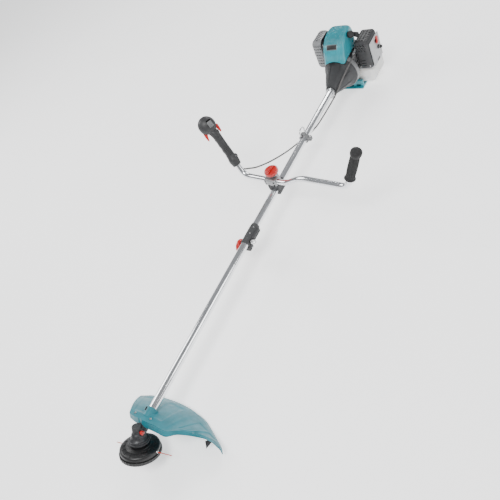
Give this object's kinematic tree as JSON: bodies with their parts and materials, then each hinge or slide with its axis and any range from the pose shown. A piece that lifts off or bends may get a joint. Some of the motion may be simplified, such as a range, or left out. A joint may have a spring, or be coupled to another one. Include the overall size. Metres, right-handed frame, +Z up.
{
  "type": "string trimmer",
  "caption": "Petrol string trimmer: split straight shaft with coupler, bicycle handlebar with throttle handle, engine unit, wrap-round guard and bump-feed line head.",
  "frame": {"origin": "middle of the sole of the foot under the fuel tank, on the surface that the machine lies on", "axes": "+Y along the shaft from the cutting head to the engine, +Z up, +X across, towards the long side of the handlebar"},
  "size_m": [0.6885, 1.9962, 0.3996],
  "materials": {
    "tube_chrome": "polished",
    "cast_alloy": "as cast",
    "dark_cast": "satin",
    "steel": "machined",
    "teal_plastic": "semi-gloss moulded",
    "dark_plastic": "fine moulded grain",
    "grey_plastic": "fine moulded grain",
    "pale_plastic": "satin",
    "black_plastic": "satin",
    "red_plastic": "semi-gloss moulded",
    "tank_plastic": "translucent blow-moulded",
    "rubber": "matte",
    "nylon_line": "extruded"
  },
  "bodies": {
    "engine_unit": {"upper_tube": "tube_chrome", "coupler_body": "dark_plastic", "bar_clamp_lower": "dark_plastic", "bar_clamp_upper": "dark_plastic", "harness_clamp": "grey_plastic", "harness_eyelet": "tube_chrome", "tube_clamp_ring": "tube_chrome", "clutch_housing": "dark_plastic", "crankcase": "cast_alloy", "cylinder": "cast_alloy", "piston": "cast_alloy", "muffler": "steel", "muffler_cover": "grey_plastic", "engine_cover": "teal_plastic", "plug_boot": "rubber", "carburettor": "cast_alloy", "filter_cover": "dark_plastic", "filter_side_panel": "pale_plastic", "fuel_tank": "tank_plastic", "tank_stand": "teal_plastic", "starter_case": "dark_plastic", "throttle_cable": "dark_plastic"},
    "lower_unit": {"lower_tube": "tube_chrome", "gear_case": "dark_cast", "gear_case_cap": "dark_plastic", "grease_plug": "red_plastic", "output_bearing": "steel", "guard_shell": "teal_plastic", "line_cutter_blade": "black_plastic"},
    "trimmer_head": {"output_shaft": "steel", "bevel_gear": "steel", "head_cover": "black_plastic", "head_bowl": "black_plastic", "line_left": "nylon_line", "line_right": "nylon_line"},
    "bump_spool": {"bump_button": "black_plastic", "spool": "black_plastic", "bump_spring": "steel"},
    "lower_drive": {"lower_drive_shaft": "steel", "bevel_pinion": "steel"},
    "upper_drive": {"upper_drive_shaft": "steel", "clutch_drum": "steel"},
    "crank": {"crankshaft": "steel", "flywheel": "cast_alloy"},
    "coupler_screw": {"coupler_knob": "red_plastic"},
    "locking_pin": {"lock_pin": "tube_chrome"},
    "bar_screw": {"bar_knob": "red_plastic"},
    "handlebars": {"handlebar": "tube_chrome", "bar_swivel": "cast_alloy", "throttle_handle_left": "dark_plastic", "throttle_handle_right": "dark_plastic", "hand_grip": "rubber"},
    "trigger": {"throttle_trigger": "red_plastic"},
    "lockout": {"lock_off_lever": "red_plastic"},
    "switch": {"stop_switch": "dark_plastic"},
    "choke": {"choke_lever": "red_plastic"},
    "primer": {"primer_bulb": "black_plastic"},
    "tank_cap": {"fuel_cap": "black_plastic"},
    "starter_grip": {"starter_handle": "black_plastic"},
    "starter_drum": {"starter_reel": "black_plastic"}
  },
  "joints": [
    {"name": "attachment_slide", "type": "slide", "parent": "engine_unit", "child": "lower_unit", "axis": [0, -1, 0], "range_m": [0, 0.05]},
    {"name": "head_spin", "type": "hinge", "parent": "lower_unit", "child": "trimmer_head", "pos_m": [0, -1.74, 0.116], "axis": [0, 0.5417, 0.8406], "continuous": true},
    {"name": "bump_feed", "type": "slide", "parent": "trimmer_head", "child": "bump_spool", "axis": [0, 0.5417, 0.8406], "range_m": [0, 0.005], "stiffness_N_per_m": 1500, "springref_m": -0.004, "deforming": ["bump_spring"]},
    {"name": "lower_shaft_spin", "type": "hinge", "parent": "lower_unit", "child": "lower_drive", "pos_m": [0, -1.74, 0.116], "axis": [0, 1, 0], "continuous": true},
    {"name": "upper_shaft_spin", "type": "hinge", "parent": "engine_unit", "child": "upper_drive", "pos_m": [0, -0.54, 0.116], "axis": [0, 1, 0], "continuous": true},
    {"name": "crank_spin", "type": "hinge", "parent": "engine_unit", "child": "crank", "pos_m": [0, 0.016, 0.116], "axis": [0, 1, 0], "continuous": true},
    {"name": "coupler_knob_turn", "type": "hinge", "parent": "engine_unit", "child": "coupler_screw", "pos_m": [-0.03, -0.998, 0.0945], "axis": [-1, 0, 0], "range_deg": [0, 270]},
    {"name": "lock_pin_pull", "type": "slide", "parent": "engine_unit", "child": "locking_pin", "axis": [1, 0, 0], "range_m": [0, 0.008], "stiffness_N_per_m": 600, "springref_m": -0.003},
    {"name": "handlebar_fold", "type": "hinge", "parent": "engine_unit", "child": "handlebars", "pos_m": [0, -0.714, 0.158], "axis": [0, 0, 1], "range_deg": [-83, 7], "deforming": ["throttle_cable"]},
    {"name": "bar_knob_turn", "type": "hinge", "parent": "handlebars", "child": "bar_screw", "pos_m": [0, -0.714, 0.192], "axis": [0, 0, 1], "range_deg": [0, 270]},
    {"name": "throttle_trigger_pull", "type": "hinge", "parent": "handlebars", "child": "trigger", "pos_m": [-0.2455, -0.67116, 0.36219], "axis": [0.6681, -0.5712, 0.4767], "range_deg": [0, 20], "stiffness_Nm_per_rad": 0.25, "springref_deg": -28.65},
    {"name": "lock_off_press", "type": "hinge", "parent": "handlebars", "child": "lockout", "pos_m": [-0.22067, -0.64776, 0.35542], "axis": [-0.6681, 0.5712, -0.4767], "range_deg": [0, 8], "stiffness_Nm_per_rad": 0.3, "springref_deg": -22.92},
    {"name": "stop_switch_slide", "type": "slide", "parent": "handlebars", "child": "switch", "axis": [-0.4246, 0.2334, 0.8748], "range_m": [0, 0.004]},
    {"name": "choke_turn", "type": "hinge", "parent": "engine_unit", "child": "choke", "pos_m": [0.14, 0.063, 0.178], "axis": [1, 0, 0], "range_deg": [0, 55]},
    {"name": "primer_press", "type": "slide", "parent": "engine_unit", "child": "primer", "axis": [-1, 0, 0], "range_m": [0, 0.004], "stiffness_N_per_m": 900, "springref_m": -0.001},
    {"name": "fuel_cap_turn", "type": "hinge", "parent": "engine_unit", "child": "tank_cap", "pos_m": [0.02, 0.158, 0.052], "axis": [0, 1, 0], "range_deg": [0, 270]},
    {"name": "starter_pull", "type": "slide", "parent": "engine_unit", "child": "starter_grip", "axis": [-1, 0, 0], "range_m": [0, 0.6], "stiffness_N_per_m": 20, "springref_m": -0.3},
    {"name": "starter_reel_spin", "type": "hinge", "parent": "engine_unit", "child": "starter_drum", "pos_m": [0, 0.09, 0.116], "axis": [0, 1, 0], "continuous": true}
  ],
  "couplings": [
    {"joint": "lower_shaft_spin", "follows": "head_spin", "ratio": 1.3571},
    {"joint": "upper_shaft_spin", "follows": "head_spin", "ratio": 1.3571},
    {"joint": "starter_reel_spin", "follows": "starter_pull", "rad_per_m": -41.667}
  ]
}
